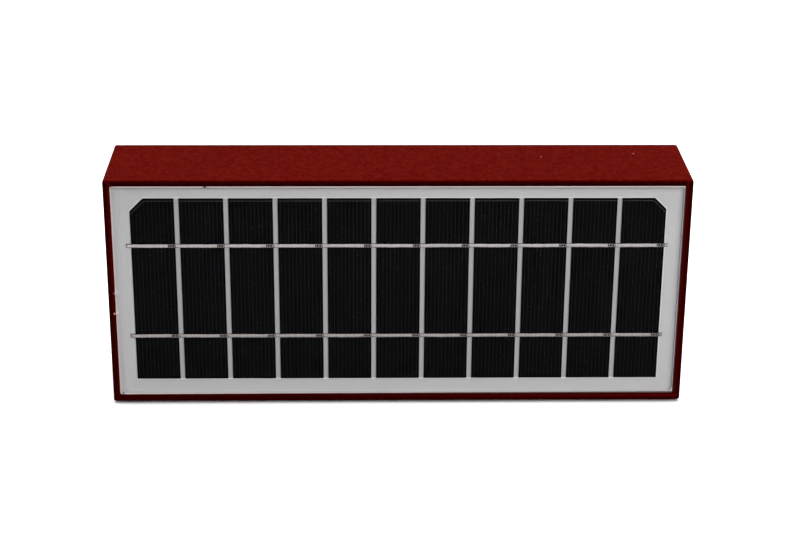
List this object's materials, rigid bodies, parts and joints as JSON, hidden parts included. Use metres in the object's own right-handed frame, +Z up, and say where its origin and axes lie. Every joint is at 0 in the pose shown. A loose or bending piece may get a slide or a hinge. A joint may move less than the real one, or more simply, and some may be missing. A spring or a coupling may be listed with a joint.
{
  "type": "solar wall light",
  "caption": "Shallow oblong box of dark red sheet metal with a solar panel set in its front, a lamp window and push button underneath, and a hook-on bracket behind it for the wall.",
  "frame": {"origin": "middle of the underside, on the surface the light stands on in the picture", "axes": "+X along the wall to the right as seen from the panel side, +Y from the panel towards the wall, +Z up"},
  "size_m": [0.231, 0.043, 0.0956],
  "materials": {
    "red_paint": "fine textured powder coat",
    "white_board": "satin",
    "clear_film": "clear, satin",
    "silicon": "dark anti-reflective coat",
    "tinned_ribbon": "tinned, slightly uneven solder",
    "nickel_strip": "plain",
    "sealant": "satin, hand-run bead",
    "black_plastic": "matte",
    "white_plastic": "matte",
    "zinc_sheet": "zinc plated sheet",
    "plated_steel": "bright zinc plate",
    "black_rubber": "closed-cell foam",
    "battery_can": "nickel plated can",
    "blue_wrap": "shrunk film",
    "green_board": "solder mask",
    "ferrite": "matte",
    "bare_aluminium": "mill finish",
    "brass": "turned",
    "led_board_white": "white solder mask",
    "phosphor": "phosphor fill",
    "opal_lens": "opal, satin",
    "button_rubber": "satin",
    "lead_sheath": "satin"
  },
  "bodies": {
    "light": {"back_gasket": "black_rubber", "back_plate": "zinc_sheet", "battery_cell_lower": "battery_can", "battery_cell_upper": "battery_can", "battery_leads": "lead_sheath", "battery_links": "nickel_strip", "battery_pad": "black_rubber", "battery_strap": "zinc_sheet", "battery_wrap": "blue_wrap", "board_screws": "plated_steel", "board_standoffs": "brass", "charge_coil": "ferrite", "control_board": "green_board", "control_chips": "black_plastic", "housing": "red_paint", "lamp_lens": "opal_lens", "lamp_nuts": "plated_steel", "lamp_tray": "bare_aluminium", "lead_sockets": "white_plastic", "led_board": "led_board_white", "led_chips": "phosphor", "led_leads": "lead_sheath", "led_screws": "plated_steel", "lens_gasket": "black_rubber", "lock_screws": "plated_steel", "lower_ribbons": "tinned_ribbon", "panel_board": "white_board", "panel_encapsulant": "clear_film", "panel_front_sheet": "clear_film", "panel_leads": "lead_sheath", "panel_ledge": "red_paint", "panel_sealant": "sealant", "panel_terminal": "black_plastic", "plate_nuts": "plated_steel", "plate_screws": "plated_steel", "rear_ledge": "red_paint", "smoothing_capacitor": "bare_aluminium", "solar_cell_01": "silicon", "solar_cell_02": "silicon", "solar_cell_03": "silicon", "solar_cell_04": "silicon", "solar_cell_05": "silicon", "solar_cell_06": "silicon", "solar_cell_07": "silicon", "solar_cell_08": "silicon", "solar_cell_09": "silicon", "solar_cell_10": "silicon", "solar_cell_11": "silicon", "strap_nuts": "plated_steel", "switch_board": "green_board", "switch_body": "black_plastic", "switch_leads": "lead_sheath", "switch_posts": "brass", "switch_screws": "plated_steel", "upper_ribbons": "tinned_ribbon", "wall_bracket": "zinc_sheet"},
    "button": {"button_pad": "button_rubber", "switch_plunger": "white_plastic"}
  },
  "joints": [
    {"name": "button_press", "type": "slide", "parent": "light", "child": "button", "axis": [0, 0, 1], "range_m": [0, 0.0015], "stiffness_N_per_m": 400, "springref_m": -0.002}
  ]
}
